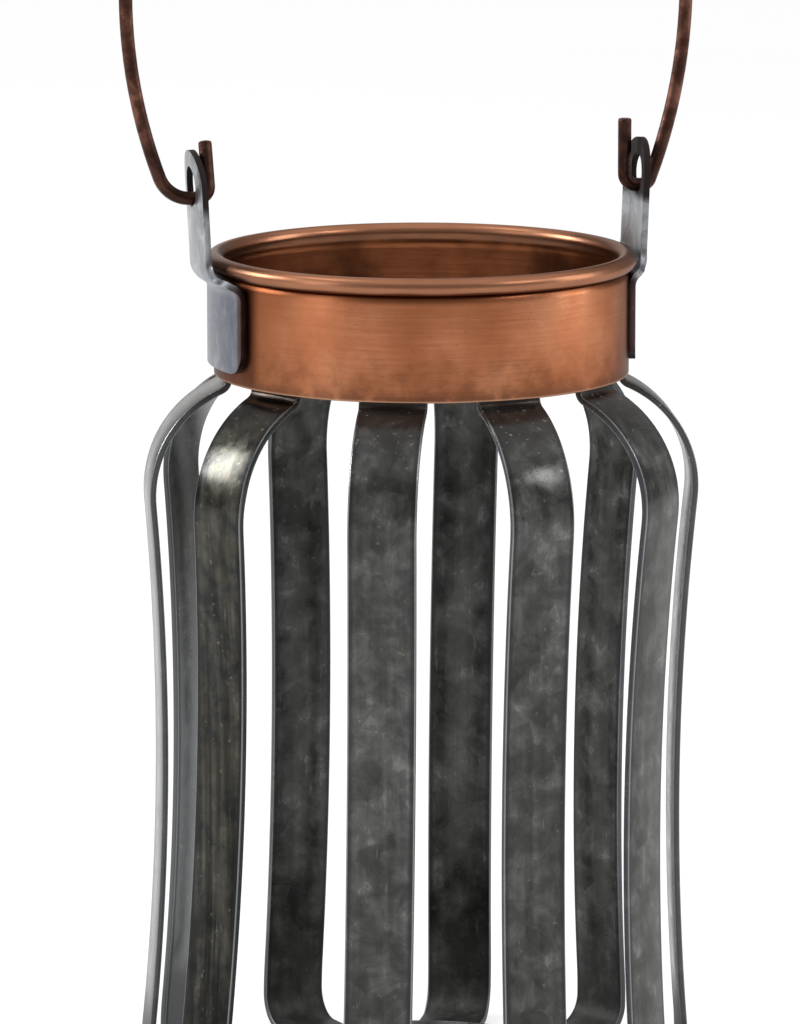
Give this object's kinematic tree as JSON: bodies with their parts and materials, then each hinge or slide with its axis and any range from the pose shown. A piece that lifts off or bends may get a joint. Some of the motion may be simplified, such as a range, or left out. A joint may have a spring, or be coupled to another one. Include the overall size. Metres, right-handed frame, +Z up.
{
  "type": "candle lantern",
  "caption": "Open candle lantern of bent galvanised straps between a round pan and a copper collar with a rolled rim, carried by a wire bail that swings in ears on the collar.",
  "frame": {"origin": "centre of the strap feet, on the surface that the lantern stands on", "axes": "+Z up along the body's axis, X along the bail's hinge through both ears, Y from front to back"},
  "size_m": [0.1452, 0.1318, 0.3381],
  "materials": {
    "galvanised": "hot-dip galvanised, dull, with spangle and streaks",
    "copper": "aged copper, burnished, with brown patina",
    "wire": "dark copper-brown finish"
  },
  "bodies": {
    "lantern": {"slat_01": "galvanised", "slat_02": "galvanised", "slat_03": "galvanised", "slat_04": "galvanised", "slat_05": "galvanised", "slat_06": "galvanised", "slat_07": "galvanised", "slat_08": "galvanised", "slat_09": "galvanised", "slat_10": "galvanised", "base_pan": "galvanised", "collar": "copper", "ear_right": "galvanised", "ear_left": "galvanised"},
    "bail": {"bail": "wire"}
  },
  "joints": [
    {"name": "bail_swing", "type": "hinge", "parent": "lantern", "child": "bail", "pos_m": [0, 0, 0.2175], "axis": [1, 0, 0], "range_deg": [-142, 142]}
  ]
}
